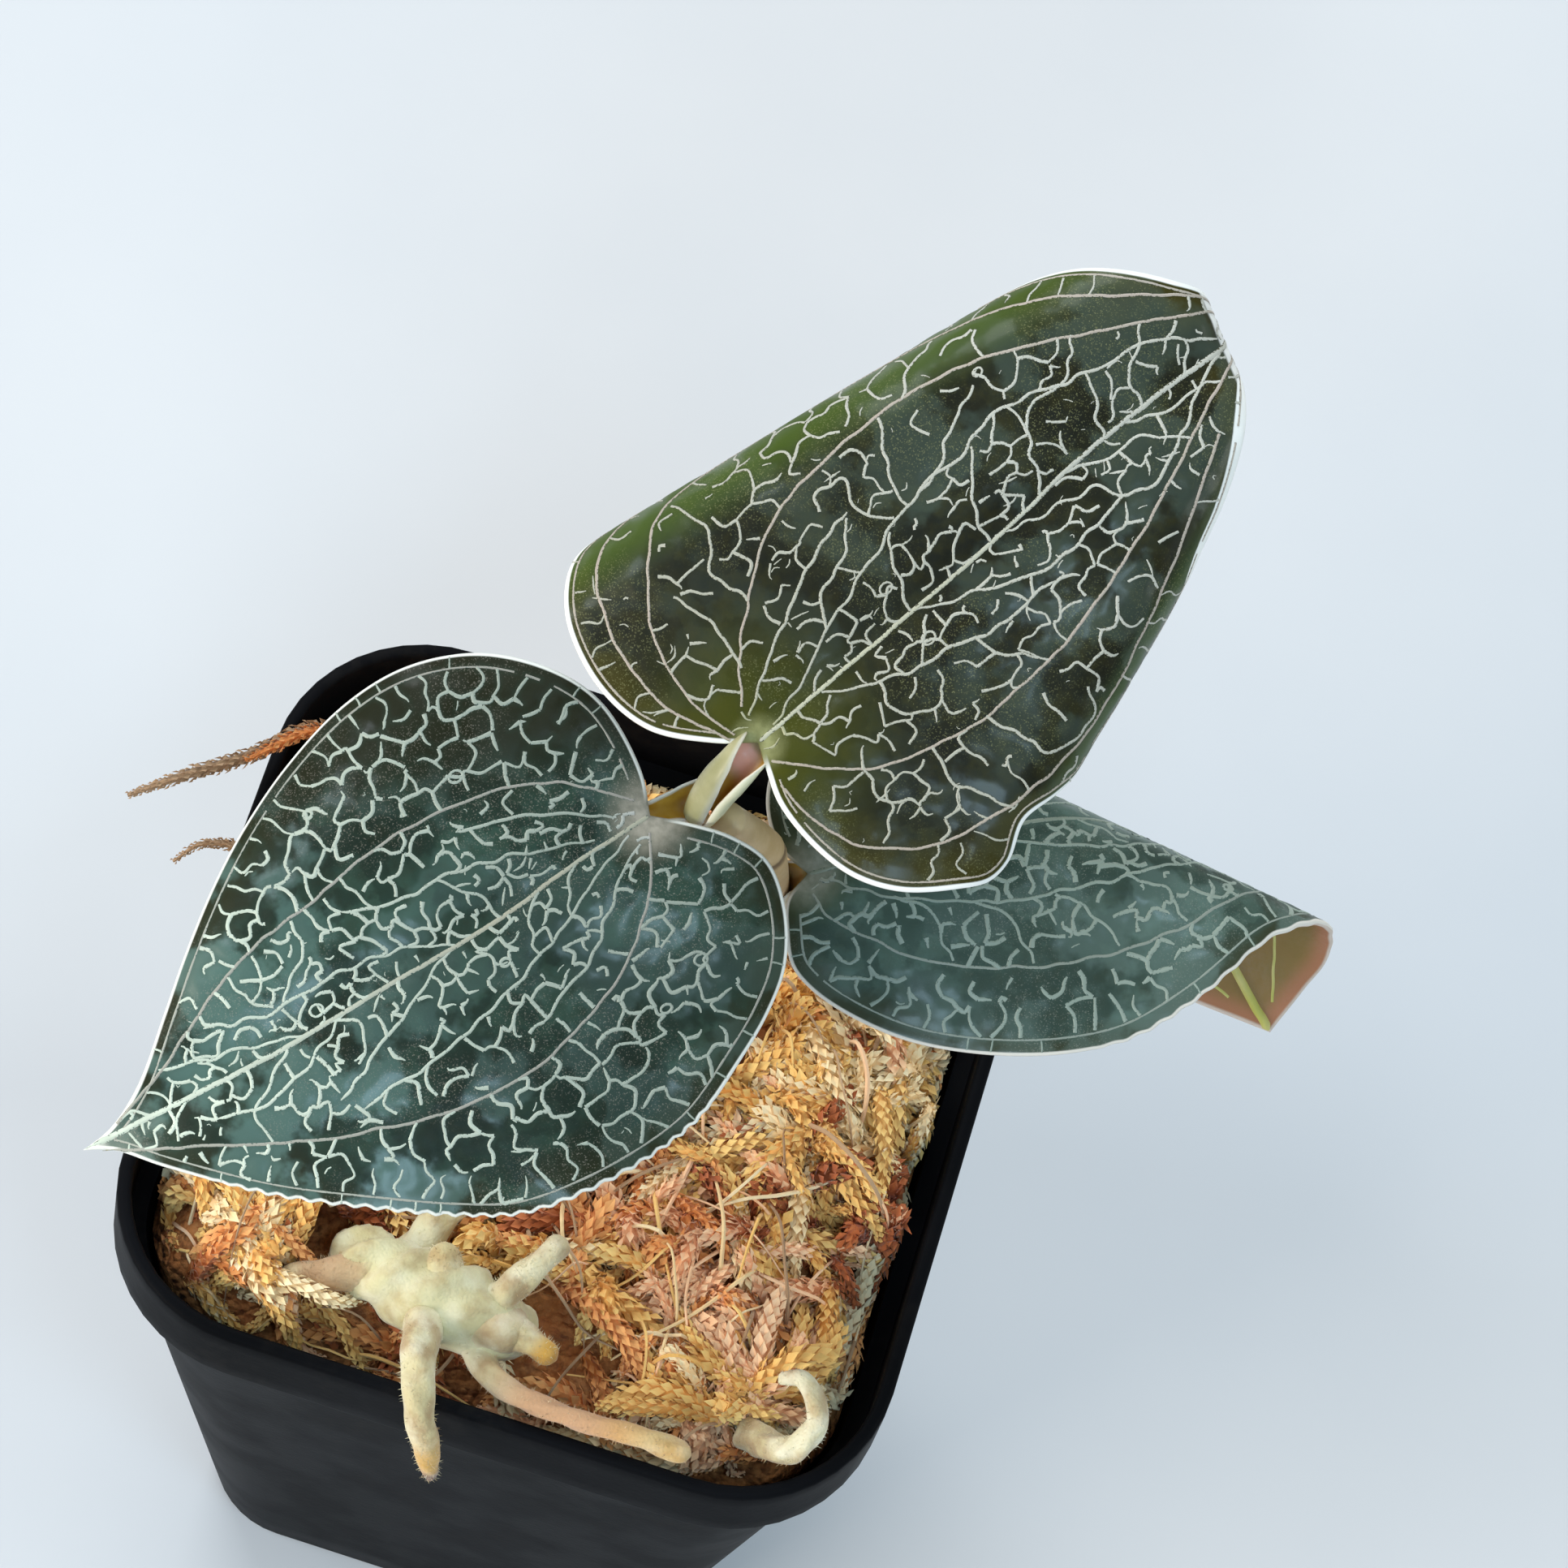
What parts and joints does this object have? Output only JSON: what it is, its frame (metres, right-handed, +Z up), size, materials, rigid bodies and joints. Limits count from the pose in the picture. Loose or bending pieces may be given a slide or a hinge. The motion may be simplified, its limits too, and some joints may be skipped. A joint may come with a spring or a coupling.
{
  "type": "jewel orchid in a nursery pot",
  "caption": "Young jewel orchid with heart-shaped, net-veined leaves on a short stem, growing in loose moss in a square nursery pot; stands as a houseplant.",
  "frame": {"origin": "centre of the pot's flat underside", "axes": "+Z up; the pot's sides run along X and Y; the leaves turn their faces up and towards -Y"},
  "size_m": [0.0952, 0.0814, 0.1456],
  "materials": {
    "pot_plastic": "moulded black plastic, satin, lightly scuffed",
    "moss_rust": "loose rust and brown moss fibre, matte",
    "moss_pale": "dry cream and golden long-fibre moss, matte",
    "root_pale": "pale greenish rhizome and velvety cream roots",
    "stem_green": "fleshy olive and brownish stem, satin",
    "leaf_teal": "dark bottle-green blade with a satin sheen, silvery net of veins and white margin",
    "leaf_olive": "dark olive-brown blade with a satin sheen, white net of veins and white margin"
  },
  "bodies": {
    "root": {"pot": "pot_plastic", "moss_bed": "moss_rust", "pale_moss_left": "moss_pale", "pale_moss_right": "moss_pale", "pale_moss_front": "moss_pale", "rhizome": "root_pale", "stem": "stem_green", "leaf_1": "leaf_teal", "leaf_2": "leaf_olive", "leaf_3": "leaf_teal"}
  },
  "joints": []
}
